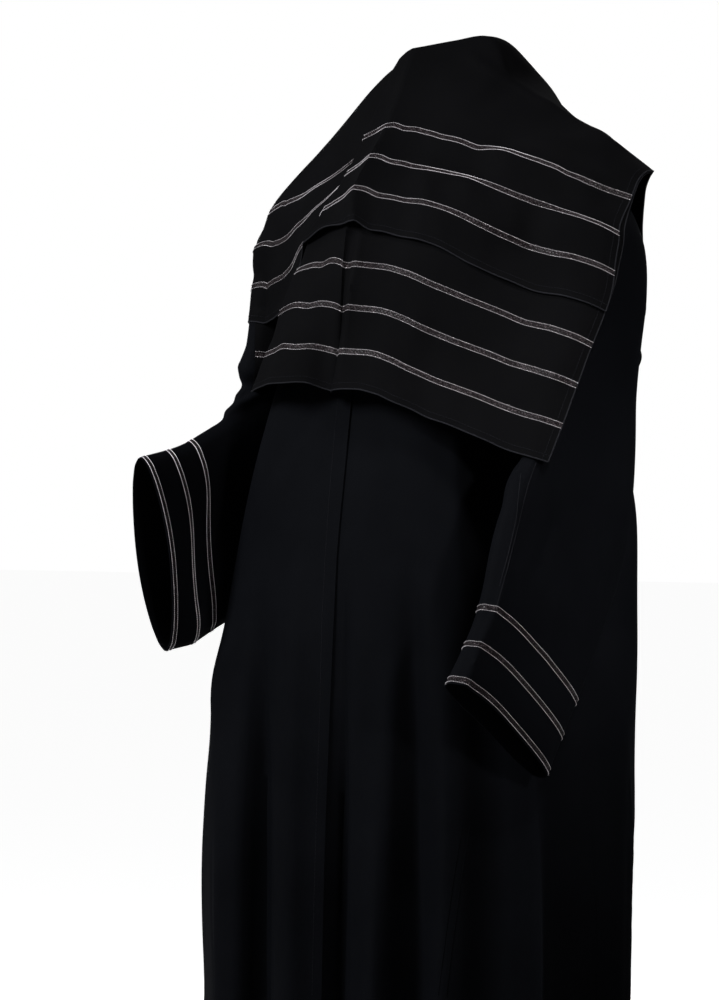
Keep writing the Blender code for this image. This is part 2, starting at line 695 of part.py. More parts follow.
def add_drop(scarf, index, upper_lift, material):
    """The doubled cloth behind: down outside, round the fold and up inside."""
    move = scarf.drawn_back("back")
    points, even = scarf.points, scarf.even
    down = np.array([0, 0, -1])
    outer, inner = [], []
    for row in index:
        outer.append(points[row] + even[row] * upper_lift + move[row])
        inner.append(points[row] + even[row] * (upper_lift - SCARF_WALL) + move[row])
    last = index[-1]
    middle = (upper_lift - SCARF_WALL) / 2
    outer.append(points[last] + even[last] * middle + down * (LAYER_GAP + SCARF_WALL))
    inner.append(points[last] + even[last] * middle + down * LAYER_GAP)
    for row in index[::-1]:
        outer.append(points[row] - even[row] * SCARF_WALL + move[row])
        inner.append(points[row] + move[row])
    outer, inner = np.array(outer), np.array(inner)
    shape = outer.shape[:2]
    faces = grid_faces(np.arange(shape[0] * shape[1]).reshape(shape).tolist())
    add_solid("shayla_back", outer.reshape(-1, 3), inner.reshape(-1, 3), faces, material)


def main():
    for obj in list(bpy.data.objects):
        bpy.data.objects.remove(obj, do_unlink=True)
    robe_material = plain_material("robe_crepe", CLOTH_COLOUR, 0.75)
    scarf_material = plain_material("shayla_crepe", CLOTH_COLOUR, 0.8)
    trim_material = plain_material("silver_trim", TRIM_COLOUR, 0.4, 0.6)
    robe = build_robe(robe_material, trim_material)
    build_shayla(robe, scarf_material, trim_material)


main()
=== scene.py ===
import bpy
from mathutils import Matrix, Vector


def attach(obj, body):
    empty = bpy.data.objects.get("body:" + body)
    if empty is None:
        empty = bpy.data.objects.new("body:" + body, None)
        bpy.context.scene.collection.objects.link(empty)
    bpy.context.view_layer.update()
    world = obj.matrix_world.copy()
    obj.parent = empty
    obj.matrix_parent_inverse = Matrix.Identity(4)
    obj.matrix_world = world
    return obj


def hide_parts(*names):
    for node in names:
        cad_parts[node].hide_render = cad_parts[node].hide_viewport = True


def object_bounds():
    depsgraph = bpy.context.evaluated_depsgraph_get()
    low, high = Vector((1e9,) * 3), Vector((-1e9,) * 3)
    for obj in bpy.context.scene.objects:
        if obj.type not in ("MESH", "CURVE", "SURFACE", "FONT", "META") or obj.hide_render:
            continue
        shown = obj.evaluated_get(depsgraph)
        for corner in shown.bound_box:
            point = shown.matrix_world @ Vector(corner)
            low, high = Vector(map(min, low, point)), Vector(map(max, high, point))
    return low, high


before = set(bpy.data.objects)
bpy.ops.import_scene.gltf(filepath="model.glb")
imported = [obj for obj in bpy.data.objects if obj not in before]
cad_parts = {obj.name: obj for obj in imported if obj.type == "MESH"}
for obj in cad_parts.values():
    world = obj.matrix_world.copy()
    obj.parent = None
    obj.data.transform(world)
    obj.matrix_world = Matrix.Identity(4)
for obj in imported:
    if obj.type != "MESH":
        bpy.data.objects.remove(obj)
cadBox = [list(corner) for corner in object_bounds()]

import math

import bmesh
import bpy
import numpy as np
from mathutils import Vector, noise
from mathutils.bvhtree import BVHTree

scene = bpy.context.scene
scene.view_settings.view_transform = "Standard"

view = {  # the camera, in metres, and in pixels of the 719 x 1000 frame
    "turn": math.radians(38), "distance": 3.6, "across": -0.1117, "height": -0.4167,
    "focal": 3240.0, "middle": (359.5, 500.0), "frameHeight": 1000, "sensor": 36,
}
viewRight = np.array([math.cos(view["turn"]), math.sin(view["turn"]), 0.0])
viewAhead = np.array([-math.sin(view["turn"]), math.cos(view["turn"]), 0.0])
cameraAt = viewRight * view["across"] + (0, 0, view["height"]) - viewAhead * view["distance"]
cameraData = bpy.data.cameras.new("camera")
cameraData.lens = view["focal"] * view["sensor"] / view["frameHeight"]
camera = bpy.data.objects.new("camera", cameraData)
camera.location = cameraAt
camera.rotation_euler = (math.pi / 2, 0, view["turn"])
scene.collection.objects.link(camera)
scene.camera = camera
print("camera placed")


def onPhoto(points):  # where points lie in the 719 x 1000 frame
    depth = view["distance"] + points @ viewAhead
    across = points @ viewRight - view["across"]
    up = points[..., 2] - view["height"]
    x = view["middle"][0] + view["focal"] * across / depth
    y = view["middle"][1] - view["focal"] * up / depth
    return np.stack([x, y], -1)


# materials: crepe for the cloth, thread and net for the trim


def newGroup(name, inputs, outputs):
    group = bpy.data.node_groups.new(name, "ShaderNodeTree")
    for label, kind, value in inputs:
        socket = group.interface.new_socket(name=label, in_out="INPUT", socket_type=kind)
        if value is not None:
            socket.default_value = value
    for label, kind in outputs:
        group.interface.new_socket(name=label, in_out="OUTPUT", socket_type=kind)
    return group, group.nodes.new("NodeGroupInput"), group.nodes.new("NodeGroupOutput")


def node(tree, kind, values=None, **settings):  # a node with its settings and unlinked inputs
    made = tree.nodes.new(kind)
    for key, value in settings.items():
        setattr(made, key, value)
    for key, value in (values or {}).items():
        made.inputs[key].default_value = value
    return made


def math2(tree, operation, a, b=None, clamp=False):
    made = tree.nodes.new("ShaderNodeMath")
    made.operation = operation
    made.use_clamp = clamp
    for place, value in enumerate((a, b)):
        if value is None:
            continue
        if isinstance(value, (int, float)):
            made.inputs[place].default_value = value
        else:
            tree.links.new(value, made.inputs[place])
    return made.outputs[0]


def mixColour(tree, share, first, second):
    made = tree.nodes.new("ShaderNodeMix")
    made.data_type = "RGBA"
    for place, value in ((0, share), (6, first), (7, second)):
        if hasattr(value, "links"):
            tree.links.new(value, made.inputs[place])
        else:
            made.inputs[place].default_value = value
    return made.outputs[2]


crepeWeave = {
    "patches": 9.0, "pebble": 620.0, "yarn": (1500.0, 1500.0, 420.0), "yarnShare": 0.45, "grain": 1.1,
    "lint": 75.0, "lintSize": 0.035, "lintShare": 0.12, "lintColour": (0.03, 0.03, 0.033, 1),
    "smoothest": 0.62, "rougher": 0.22, "depth": 0.0004,
}


def crepeGroup():
    group, start, end = newGroup(
        "crepe",
        [
            ("position", "NodeSocketVector", None),
            ("dark", "NodeSocketColor", (0.004, 0.004, 0.005, 1)),
            ("light", "NodeSocketColor", (0.008, 0.009, 0.011, 1)),
        ],
        [
            ("colour", "NodeSocketColor"),
            ("roughness", "NodeSocketFloat"),
            ("height", "NodeSocketFloat"),
        ],
    )
    links = group.links
    slow = {"Scale": crepeWeave["patches"], "Detail": 3.0, "Roughness": 0.55}
    fine = {"Scale": crepeWeave["pebble"], "Detail": 3.0, "Roughness": 0.7}
    patches = node(group, "ShaderNodeTexNoise", slow)
    pebble = node(group, "ShaderNodeTexNoise", fine)
    stretch = node(group, "ShaderNodeMapping", {"Scale": crepeWeave["yarn"]})
    yarn = node(group, "ShaderNodeTexNoise", {"Scale": 1.0, "Detail": 1.0})
    lint = node(group, "ShaderNodeTexVoronoi", {"Scale": crepeWeave["lint"]}, feature="F1")
    for target in (patches, pebble, lint):
        links.new(start.outputs["position"], target.inputs["Vector"])
    links.new(start.outputs["position"], stretch.inputs["Vector"])
    links.new(stretch.outputs[0], yarn.inputs["Vector"])
    grain = math2(group, "SUBTRACT", pebble.outputs[0], 0.5)
    grain = math2(group, "MULTIPLY", grain, crepeWeave["grain"])
    total = math2(group, "ADD", patches.outputs[0], grain, clamp=True)
    colour = mixColour(group, total, start.outputs["dark"], start.outputs["light"])
    speck = math2(group, "LESS_THAN", lint.outputs["Distance"], crepeWeave["lintSize"])
    speck = math2(group, "MULTIPLY", speck, crepeWeave["lintShare"])
    colour = mixColour(group, speck, colour, crepeWeave["lintColour"])
    links.new(colour, end.inputs["colour"])
    rough = math2(group, "MULTIPLY", pebble.outputs[0], crepeWeave["rougher"])
    links.new(math2(group, "ADD", rough, crepeWeave["smoothest"]), end.inputs["roughness"])
    height = math2(group, "MULTIPLY", yarn.outputs[0], crepeWeave["yarnShare"])
    links.new(math2(group, "ADD", height, pebble.outputs[0]), end.inputs["height"])
    return group


crepe = crepeGroup()


def clothMaterial(name, look):  # matt crepe with a soft sheen where it turns away
    material = bpy.data.materials.new(name)
    material.use_nodes = True
    tree = material.node_tree
    shader = tree.nodes["Principled BSDF"]
    place = node(tree, "ShaderNodeTexCoord")
    weave = node(tree, "ShaderNodeGroup", node_tree=crepe)
    weave.inputs["dark"].default_value = look["dark"]
    weave.inputs["light"].default_value = look["light"]
    bump = node(tree, "ShaderNodeBump", {"Strength": look["grain"], "Distance": crepeWeave["depth"]})
    tree.links.new(place.outputs["Object"], weave.inputs["position"])
    tree.links.new(weave.outputs["colour"], shader.inputs["Base Color"])
    tree.links.new(weave.outputs["roughness"], shader.inputs["Roughness"])
    tree.links.new(weave.outputs["height"], bump.inputs["Height"])
    tree.links.new(bump.outputs[0], shader.inputs["Normal"])
    shader.inputs["Specular IOR Level"].default_value = look["gloss"]
    shader.inputs["Sheen Weight"].default_value = look["sheen"]
    shader.inputs["Sheen Roughness"].default_value = look["sheenRoughness"]
    shader.inputs["Sheen Tint"].default_value = look["sheenTint"]
    return material


robeLook = {
    "dark": (0.0017, 0.00185, 0.0024, 1), "light": (0.0042, 0.0045, 0.0057, 1), "grain": 0.35,
    "gloss": 0.012, "sheen": 0.003, "sheenRoughness": 0.45, "sheenTint": (0.62, 0.72, 1.0, 1),
}
scarfLook = {
    "dark": (0.0017, 0.0017, 0.0019, 1), "light": (0.0039, 0.0038, 0.0043, 1), "grain": 0.30,
    "gloss": 0.012, "sheen": 0.003, "sheenRoughness": 0.4, "sheenTint": (0.86, 0.88, 1.0, 1),
}
# painted highlight: the rolled hems are the shayla's own crepe, painted paler where light catches the
# rolled edge
hemHighlightLook = {
    "dark": (0.007, 0.007, 0.0085, 1), "light": (0.015, 0.015, 0.018, 1), "grain": 0.5,
    "gloss": 0.06, "sheen": 0.01, "sheenRoughness": 0.35, "sheenTint": (0.9, 0.92, 1.0, 1),
}
stitchLook = {
    "dark": (0.006, 0.006, 0.0075, 1), "light": (0.013, 0.013, 0.016, 1), "grain": 0.3,
    "gloss": 0.04, "sheen": 0.005, "sheenRoughness": 0.4, "sheenTint": (0.85, 0.9, 1.0, 1),
}
robeCrepe = clothMaterial("robe_crepe", robeLook)
scarfCrepe = clothMaterial("shayla_crepe", scarfLook)
hemHighlightCrepe = clothMaterial("hem_crepe_painted_highlight", hemHighlightLook)
stitchThread = clothMaterial("stitch_thread", stitchLook)

# dark and light of the cord: painted shade in the twist's grooves and a painted highlight on its crests
cordLook = {
    "dark": (0.42, 0.38, 0.40, 1), "light": (1.0, 0.94, 0.97, 1), "twist": (2600.0, 2200.0),
    "bump": 0.6, "depth": 0.0004, "metal": 0.1, "roughness": 0.34,
}
latticeLook = {
    "mesh": 0.0042, "sharpness": 9.0, "threadShare": 0.3, "ground": (0.003, 0.0015, 0.002, 1),
    "threadDark": (0.009, 0.0035, 0.0045, 1), "threadLight": (0.033, 0.023, 0.026, 1),
    "glitter": 1100.0, "spark": (0.11, 0.088, 0.094, 1), "sparkOver": 0.9, "sparkShare": 0.7,
    "smoothest": 0.22, "rougher": 0.35, "gloss": 0.12, "metal": 0.15, "bump": 0.8, "depth": 0.0005,
    "glitterHeight": 0.4,
}


def trimMaterial(name):  # a material with its shader, and the places along and across a band
    material = bpy.data.materials.new(name)
    material.use_nodes = True
    tree = material.node_tree
    place = node(tree, "ShaderNodeUVMap", uv_map="trim")
    split = node(tree, "ShaderNodeSeparateXYZ")
    tree.links.new(place.outputs[0], split.inputs[0])
    return material, tree, tree.nodes["Principled BSDF"], split.outputs[0], split.outputs[1]


def addRelief(tree, shader, height, look):
    bump = node(tree, "ShaderNodeBump", {"Strength": look["bump"], "Distance": look["depth"]})
    tree.links.new(height, bump.inputs["Height"])
    tree.links.new(bump.outputs[0], shader.inputs["Normal"])


def cordMaterial():  # pale metallic thread, twisted
    material, tree, shader, along, across = trimMaterial("trim_cord")
    lengthwise = math2(tree, "MULTIPLY", along, cordLook["twist"][0])
    crosswise = math2(tree, "MULTIPLY", across, cordLook["twist"][1])
    wave = math2(tree, "SINE", math2(tree, "ADD", lengthwise, crosswise))
    wave = math2(tree, "ADD", math2(tree, "MULTIPLY", wave, 0.5), 0.5)
    # painted shade and highlight: the twist's grooves are mixed darker and its crests paler, by the
    # same wave that gives the bump
    colour = mixColour(tree, wave, cordLook["dark"], cordLook["light"])
    tree.links.new(colour, shader.inputs["Base Color"])
    addRelief(tree, shader, wave, cordLook)
    shader.inputs["Metallic"].default_value = cordLook["metal"]
    shader.inputs["Roughness"].default_value = cordLook["roughness"]
    return material


def latticeMaterial():  # dark net with crossed glitter threads between the cords
    material, tree, shader, along, across = trimMaterial("trim_lattice")
    crossed = []
    for slope in (1.0, -1.0):
        slant = math2(tree, "ADD", along, math2(tree, "MULTIPLY", across, slope))
        phase = math2(tree, "MULTIPLY", slant, math.pi / latticeLook["mesh"])
        ridge = math2(tree, "ABSOLUTE", math2(tree, "COSINE", phase))
        crossed.append(math2(tree, "POWER", ridge, latticeLook["sharpness"]))
    thread = math2(tree, "MAXIMUM", *crossed)
    glitter = node(tree, "ShaderNodeTexVoronoi", {"Scale": latticeLook["glitter"]}, feature="F1")
    coordinates = node(tree, "ShaderNodeTexCoord")
    tree.links.new(coordinates.outputs["Object"], glitter.inputs["Vector"])
    tint = node(tree, "ShaderNodeSeparateColor")
    tree.links.new(glitter.outputs["Color"], tint.inputs[0])
    pale = mixColour(tree, tint.outputs[0], latticeLook["threadDark"], latticeLook["threadLight"])
    spark = math2(tree, "GREATER_THAN", tint.outputs[1], latticeLook["sparkOver"])
    sparkShare = math2(tree, "MULTIPLY", spark, latticeLook["sparkShare"])
    ground = mixColour(tree, sparkShare, latticeLook["ground"], latticeLook["spark"])
    threadShare = math2(tree, "MULTIPLY", thread, latticeLook["threadShare"])
    tree.links.new(mixColour(tree, threadShare, ground, pale), shader.inputs["Base Color"])
    rough = math2(tree, "MULTIPLY", tint.outputs[2], latticeLook["rougher"])
    rough = math2(tree, "ADD", rough, latticeLook["smoothest"])
    tree.links.new(rough, shader.inputs["Roughness"])
    shader.inputs["Specular IOR Level"].default_value = latticeLook["gloss"]
    metal = math2(tree, "MULTIPLY", math2(tree, "MAXIMUM", thread, spark), latticeLook["metal"])
    tree.links.new(metal, shader.inputs["Metallic"])
    glint = math2(tree, "MULTIPLY", tint.outputs[0], latticeLook["glitterHeight"])
    addRelief(tree, shader, math2(tree, "ADD", thread, glint), latticeLook)
    return material


cordThread = cordMaterial()
latticeThread = latticeMaterial()
print("materials made")

# each cloth's outer skin is read from its CAD solid as a grid of rows and columns

making = {  # in metres, unless it is a count or a share
    "weld": 1e-5, "wallEdge": 0.0027, "fewestTriangles": 100, "leastFall": 0.5,
    "robeMiddle": -0.06, "scarfMiddle": -0.03, "scarfTop": -0.15,  # y and z of the body's core
    "foldRound": 0.05, "foldFade": 0.3, "hemCurl": 1.6,
    "castFrom": 0.02, "settled": 5e-5, "spread": 0.6,
    "threadSides": 5, "threadStep": 0.003, "threadGirth": 0.003, "threadAside": (0.31, 0.52, 0.8),
    "rollSides": 6, "rollGirth": 0.005, "sharpOver": math.radians(65),
}


def trianglesOf(name):
    mesh = bmesh.new()
    mesh.from_mesh(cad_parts[name].data)
    bmesh.ops.remove_doubles(mesh, verts=mesh.verts, dist=making["weld"])
    bmesh.ops.triangulate(mesh, faces=mesh.faces)
    points = np.array([v.co[:] for v in mesh.verts])
    faces = [tuple(v.index for v in f.verts) for f in mesh.faces]
    mesh.free()
    return points, faces


def unit(v):
    return v / np.maximum(np.linalg.norm(v, axis=-1, keepdims=True), 1e-12)


def skinsOf(points, faces, rung):  # the parts of a wall's surface left when its edge strips go
    def shortest(face):
        return min(np.linalg.norm(points[face[i]] - points[face[i - 1]]) for i in range(3))

    kept = [f for f in faces if shortest(f) > rung]
    users = {}
    for number, face in enumerate(kept):
        for i in range(3):
            users.setdefault(frozenset((face[i], face[i - 1])), []).append(number)
    seen, skins = set(), []
    for first in range(len(kept)):
        if first in seen:
            continue
        seen.add(first)
        stack, found = [first], []
        while stack:
            number = stack.pop()
            found.append(kept[number])
            for i in range(3):
                for other in users[frozenset((kept[number][i], kept[number][i - 1]))]:
                    if other not in seen:
                        seen.add(other)
                        stack.append(other)
        skins.append(found)
    return sorted(skins, key=len, reverse=True)


def outwardness(points, skin, core):
    corners = points[np.array(skin)]
    normals = np.cross(corners[:, 1] - corners[:, 0], corners[:, 2] - corners[:, 0])
    away = corners.mean(axis=1) - core(corners.mean(axis=1))
    outward = (normals * unit(away)).sum() / np.linalg.norm(normals, axis=1).sum()
    return outward, np.linalg.norm(away, axis=1).mean()


def squarest(points, users):  # the pair of triangles that make the best rectangle
    best, found = 9.0, None
    for edge, pair in users.items():
        if len(pair) != 2:
            continue
        p, q = tuple(edge)
        x, y = ((set(face) - edge).pop() for face in pair)
        ring = points[[p, x, q, y]]
        ahead, behind = unit(np.roll(ring, -1, axis=0) - ring), unit(np.roll(ring, 1, axis=0) - ring)
        lean = np.abs((ahead * behind).sum(axis=1)).max()
        if lean < best:
            best, found = lean, (p, x, q, y)
    return found


def gridFrom(points, skin):  # rows and columns of a skin whose quads were all split the same way
    users = {}
    for face in skin:
        for i in range(3):
            users.setdefault(frozenset((face[i], face[i - 1])), []).append(face)
    used = set()

    def third(a, b):  # the next unused triangle over an edge, and its far corner
        for face in users.get(frozenset((a, b)), ()):
            if face not in used:
                return face, (set(face) - {a, b}).pop()
        return None, None

    first = squarest(points, users)
    quads, queue = {}, [(0, 0, first)]
    used.update(users[frozenset((first[0], first[2]))])
    while queue:
        r, c, (c0, c1, c2, c3) = queue.pop(0)
        quads[r, c] = (c0, c1, c2, c3)
        steps = (
            (0, 1, c3, c2, lambda x, y: (c3, c2, x, y), c3),
            (1, 0, c1, c2, lambda x, y: (c1, y, x, c2), c1),
            (0, -1, c0, c1, lambda x, y: (x, y, c1, c0), c1),
            (-1, 0, c0, c3, lambda x, y: (x, c0, c3, y), c3),
        )
        for down, right, a, b, corners, pivot in steps:
            face, x = third(a, b)
            if face is None:
                continue
            used.add(face)
            other, y = third(pivot, x)
            if other is None:
                used.discard(face)
                continue
            used.add(other)
            queue.append((r + down, c + right, corners(x, y)))
    return quads


def closedCount(quads):  # how many quads go round a tube, and over which axis
    firsts = {four[0]: place for place, four in quads.items()}
    for (r, c), four in quads.items():
        place = firsts.get(four[3])
        if place and place != (r, c + 1):
            return 1, abs(place[1] - c - 1) or None
        place = firsts.get(four[1])
        if place and place != (r + 1, c):
            return 0, abs(place[0] - r - 1) or None
    return None, None


def clothGrid(name, core, closed=False):
    points, faces = trianglesOf(name)
    skins = skinsOf(points, faces, making["wallEdge"])
    skins = [s for s in skins if len(s) > making["fewestTriangles"]]
    measured = [(outwardness(points, s, core), s) for s in skins]
    outer = max((m for m in measured if m[0][0] > 0), key=lambda m: m[0][1])[1]
    quads = gridFrom(points, outer)
    if closed:
        axis, count = closedCount(quads)
        if axis == 0:
            quads = {(c, r): (q[0], q[3], q[2], q[1]) for (r, c), q in quads.items()}
        quads = {(r, c % count): q for (r, c), q in quads.items()}
    low = min(r for r, c in quads)
    left = min(c for r, c in quads)
    tall = max(r for r, c in quads) - low + 1
    wide = max(c for r, c in quads) - left + 1
    grid = np.full((tall + 1, wide + 1, 3), np.nan)
    for (r, c), (c0, c1, c2, c3) in quads.items():
        r, c = r - low, c - left
        grid[r, c], grid[r + 1, c], grid[r + 1, c + 1], grid[r, c + 1] = points[[c0, c1, c2, c3]]
    if np.isnan(grid).any() or len(quads) * 2 != len(outer):
        raise RuntimeError(f"{name}: {len(quads)} quads don't fill a grid of {grid.shape}")
    return grid


def robeCore(p):
    return np.stack([p[:, 0] * 0, p[:, 1] * 0 + making["robeMiddle"], p[:, 2]], -1)


def scarfCore(p):
    height = np.minimum(p[:, 2], making["scarfTop"])
    return np.stack([p[:, 0] * 0, p[:, 1] * 0 + making["scarfMiddle"], height], -1)


def ownCore(p):
    return np.zeros_like(p) + p.mean(axis=0)


def rowsFirst(grid, test):  # turned so that rows run the way the test says
    for option in (grid, grid.transpose(1, 0, 2)):
        for flipped in (option, option[::-1]):
            if test(flipped):
                return flipped
    raise RuntimeError("a grid doesn't run as expected")


def downwards(grid):
    fall = grid[0, :, 2].mean() - grid[-1, :, 2].mean()
    return fall > making["leastFall"]


def chords(points):
    return np.maximum(np.linalg.norm(np.diff(points, axis=0), axis=-1, keepdims=True), 1e-7)


def refine(grid, axis, step, breaks=(), closed=False):
    # a smooth curve through the points of each row or column, kept sharp at the breaks
    points = np.moveaxis(grid, axis, 0)
    count = len(points)
    span = chords(points)
    slope = np.diff(points, axis=0) / span
    ahead = np.full_like(points, np.nan)  # slopes for the interval after each point
    for i in range(1, count - 1):
        ahead[i] = (slope[i - 1] * span[i] + slope[i] * span[i - 1]) / (span[i - 1] + span[i])
    if closed:
        ahead[0] = ahead[-1] = (slope[-1] * span[0] + slope[0] * span[-1]) / (span[0] + span[-1])
    behind = ahead.copy()  # and for the interval before it
    for i in (0, *breaks, count - 1):
        if closed and i in (0, count - 1):
            continue
        if i < count - 1:
            other = behind[i + 1] if i + 1 < count - 1 and i + 1 not in breaks else slope[i]
            ahead[i] = (3 * slope[i] - other) / 2
        if i > 0:
            other = ahead[i - 1] if i - 1 > 0 and i - 1 not in breaks else slope[i - 1]
            behind[i] = (3 * slope[i - 1] - other) / 2
    fine = []
    for i in range(count - 1):
        parts = max(1, math.ceil(span[i].mean() / step))
        for k in range(parts + (i == count - 2)):
            t = k / parts
            fine.append(
                points[i] * (1 + 2 * t) * (1 - t) ** 2
                + points[i + 1] * t * t * (3 - 2 * t)
                + span[i] * ahead[i] * t * (1 - t) ** 2
                - span[i] * behind[i + 1] * t * t * (1 - t)
            )
    return np.moveaxis(np.array(fine), 0, axis)


def normalsOf(grid, facing, closed=False):
    down = np.gradient(grid, axis=0)
    if closed:
        ring = np.concatenate([grid[:, -2:-1], grid, grid[:, 1:2]], axis=1)
        right = (ring[:, 2:] - ring[:, :-2]) / 2
    else:
        right = np.gradient(grid, axis=1)
    return unit(np.cross(down, right)) * facing


def facingOf(grid, core):  # 1 if rows crossed with columns point out of the body
    normals = normalsOf(grid, 1)
    flat = grid.reshape(-1, 3)
    away = unit(flat - core(flat))
    return 1 if (normals.reshape(-1, 3) * away).sum() > 0 else -1


def lettingOut(grid, by):  # closes half of a seam's gap along both sides
    grid = grid.copy()
    grid[:, 0] += unit(grid[:, 0] - grid[:, 1]) * by
    grid[:, -1] += unit(grid[:, -1] - grid[:, -2]) * by
    return grid


class Sheet:  # a cloth as a grid of fine points, with what it was made from
    def __init__(self, grid, core, step, creases=(), closed=False):
        down = refine(grid, 0, step[0], creases[0] if creases else ())
        self.grid = refine(down, 1, step[1], creases[1] if creases else (), closed)
        self.closed = closed
        self.facing = facingOf(self.grid, core)

    def normals(self):
        return normalsOf(self.grid, self.facing, self.closed)

    def lengths(self):  # metres across and down at each point
        rows, columns = self.grid.shape[:2]
        across = np.linalg.norm(np.diff(self.grid, axis=1), axis=-1)
        across = np.concatenate([np.zeros((rows, 1)), across], axis=1)
        down = np.linalg.norm(np.diff(self.grid, axis=0), axis=-1)
        down = np.concatenate([np.zeros((1, columns)), down])
        return np.stack([np.cumsum(across, axis=1), np.cumsum(down, axis=0)], -1)


def nearestOn(seen, path):  # how far pixels lie from a path, and the value that it has there
    nearest = np.full(seen.shape[:-1], 1e9)
    value = np.zeros(nearest.shape)
    for (x0, y0, d0), (x1, y1, d1) in zip(path, path[1:]):
        run = np.array((x1 - x0, y1 - y0), float)
        t = np.clip(((seen - (x0, y0)) @ run) / (run @ run), 0, 1)
        gap = np.linalg.norm(seen - (x0, y0) - t[..., None] * run, axis=-1)
        closer = gap < nearest
        nearest = np.where(closer, gap, nearest)
        value = np.where(closer, d0 + (d1 - d0) * t, value)
    return nearest, value


def pleat(sheet, folds):  # ridges and troughs along paths of x, y and millimetres, seen from the camera
    seen = onPhoto(sheet.grid)
    normals = sheet.normals()
    facing = -(normals @ viewAhead)
    total = np.zeros(seen.shape[:-1])
    for fold in folds:
        nearest, height = nearestOn(seen, fold["path"])
        reach = nearest / fold["width"]
        shape = np.exp(-reach) if fold.get("sharp") else np.exp(-(reach**2))
        turned = (facing + fold.get("round", making["foldRound"])) / making["foldFade"]
        total += height / 1000 * shape * np.clip(turned, 0, 1)
    sheet.grid = sheet.grid + normals * total[..., None]


def undulate(sheet, waves):  # slow unevenness: millimetres, sizes along x, y and z, and a seed
    for depth, sizes, seed in waves:
        flat = sheet.grid.reshape(-1, 3) / sizes + seed
        wave = np.array([noise.noise(Vector(p)) for p in flat]).reshape(sheet.grid.shape[:2])
        sheet.grid = sheet.grid + sheet.normals() * (wave * depth / 1000)[..., None]


def nudge(sheet, moves):  # pixels x and y, reach over them, and millimetres to the right and up
    for x, y, wide, tall, across, up in moves:
        away = (onPhoto(sheet.grid) - (x, y)) / (wide, tall)
        share = np.exp(-(away[..., 0] ** 2) - away[..., 1] ** 2)[..., None]
        sheet.grid = sheet.grid + share * (viewRight * across + np.array((0, 0, up))) / 1000


def liftEdge(sheet, lifts, reach):  # a hem that stands off: pixels across, and millimetres
    down = sheet.lengths()[..., 1]
    xs, heights = zip(*lifts)
    lift = np.interp(onPhoto(sheet.grid)[..., 0], xs, heights) / 1000
    share = np.clip(1 - down / reach, 0, 1) ** making["hemCurl"]
    sheet.grid = sheet.grid + sheet.normals() * (lift * share)[..., None]


def quadTree(sheets):
    points, faces = [], []
    for sheet in sheets:
        rows, columns = sheet.grid.shape[:2]
        index = np.arange(rows * columns).reshape(rows, columns) + len(points)
        points += [tuple(p) for p in sheet.grid.reshape(-1, 3)]
        four = np.stack([index[:-1, :-1], index[1:, :-1], index[1:, 1:], index[:-1, 1:]], -1)
        faces += four.reshape(-1, 4).tolist()
    return BVHTree.FromPolygons(points, faces)


def settle(sheet, tree, clear, rounds=5):  # moved out until it stands clear of what lies beneath
    reach = making["castFrom"]
    for _ in range(rounds):
        normals = sheet.normals()
        push = np.zeros(sheet.grid.shape[:2])
        for place in np.ndindex(push.shape):
            way = Vector(normals[place])
            hit = tree.ray_cast(Vector(sheet.grid[place]) + way * reach, -way, reach + clear)
            if hit[0] is not None:
                push[place] = hit[3] * -1 + reach + clear
        if push.max() < making["settled"]:
            break
        around = np.pad(push, 1, mode="edge")
        spread = (around[:-2, 1:-1] + around[2:, 1:-1] + around[1:-1, :-2] + around[1:-1, 2:]) / 4
        sheet.grid = sheet.grid + normals * np.maximum(push, spread * making["spread"])[..., None]


def castOn(tree, path, step=2.0):  # points and normals where a path of pixels falls on a tree
    found = []
    for (x0, y0), (x1, y1) in zip(path, path[1:]):
        parts = max(1, round(math.hypot(x1 - x0, y1 - y0) / step))
        for k in range(parts):
            x, y = x0 + (x1 - x0) * k / parts, y0 + (y1 - y0) * k / parts
            across = viewRight * (x - view["middle"][0]) / view["focal"]
            up = np.array((0, 0, (view["middle"][1] - y) / view["focal"]))
            hit = tree.ray_cast(Vector(cameraAt), Vector(unit(viewAhead + across + up)))
            if hit[0] is not None:
                found.append((np.array(hit[0]), np.array(hit[1])))
    return found


def tubeFaces(first, count, sides):  # the walls and both ends of a tube, facing out
    starts = [first + k * count for k in range(sides)]
    faces = []
    for a, b in zip(starts, starts[1:] + starts[:1]):
        faces += [[a + i, b + i, b + i + 1, a + i + 1] for i in range(count - 1)]
    return faces + [starts[::-1], [corner + count - 1 for corner in starts]]


def threads(name, lines, radius, material, dash=None):  # seams, or stitches with a dash
    points, faces, uvs = [], [], []
    sides = making["threadSides"]
    for line in lines:
        line = np.array(line)
        steps = np.linalg.norm(np.diff(line, axis=0), axis=1)
        along = np.concatenate([[0], np.cumsum(steps)])
        if dash:
            starts = np.arange(0, along[-1] - dash[0], dash[0] + dash[1])
            runs = [np.linspace(s, s + dash[0], 3) for s in starts]
        else:
            runs = [np.linspace(0, along[-1], max(3, int(along[-1] / making["threadStep"])))]
        for run in runs:
            places = np.stack([np.interp(run, along, line[:, k]) for k in range(3)], -1)
            ahead = unit(np.gradient(places, axis=0))
            side = unit(np.cross(ahead, making["threadAside"]))
            up = np.cross(ahead, side)
            first, count = len(points), len(places)
            for k in range(sides):
                turn = 2 * math.pi * k / sides
                points += list(places + radius * (side * math.cos(turn) + up * math.sin(turn)))
                uvs += [(s, k / sides * making["threadGirth"]) for s in run]
            faces += tubeFaces(first, count, sides)
    obj = objectFrom(name, points, faces, uvs, [material])
    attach(obj, "root")


